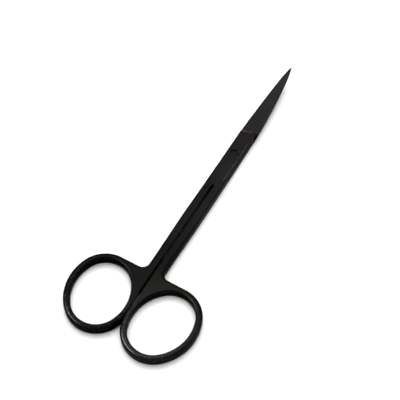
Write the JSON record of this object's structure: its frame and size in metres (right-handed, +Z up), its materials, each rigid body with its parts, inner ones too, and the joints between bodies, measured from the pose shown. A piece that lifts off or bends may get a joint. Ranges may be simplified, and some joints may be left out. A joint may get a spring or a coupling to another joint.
{
  "type": "iris scissors",
  "caption": "Slim surgical scissors with oval finger rings, long straight shanks, a screwed lap joint and short pointed blades that curve upwards.",
  "frame": {"origin": "on the pivot axis, in the plane of the flat underside that rests on the table", "axes": "+Y along the closed blades towards their tips, +Z up out of the table towards the screw's head, +X to the right seen from above with the tips ahead"},
  "size_m": [0.0426, 0.115, 0.005],
  "materials": {
    "upper_half_coat": "satin black coating on ground steel",
    "lower_half_coat": "satin black coating on ground steel",
    "screw_coat": "satin black coating on a turned screw"
  },
  "bodies": {
    "lower_body": {"lower_half": "lower_half_coat", "pivot_screw": "screw_coat"},
    "upper_body": {"upper_half": "upper_half_coat"}
  },
  "joints": [
    {"name": "blade_pivot", "type": "hinge", "parent": "lower_body", "child": "upper_body", "pos_m": [0, 0, 0.0018], "axis": [0, 0, -1], "range_deg": [0, 60]}
  ]
}
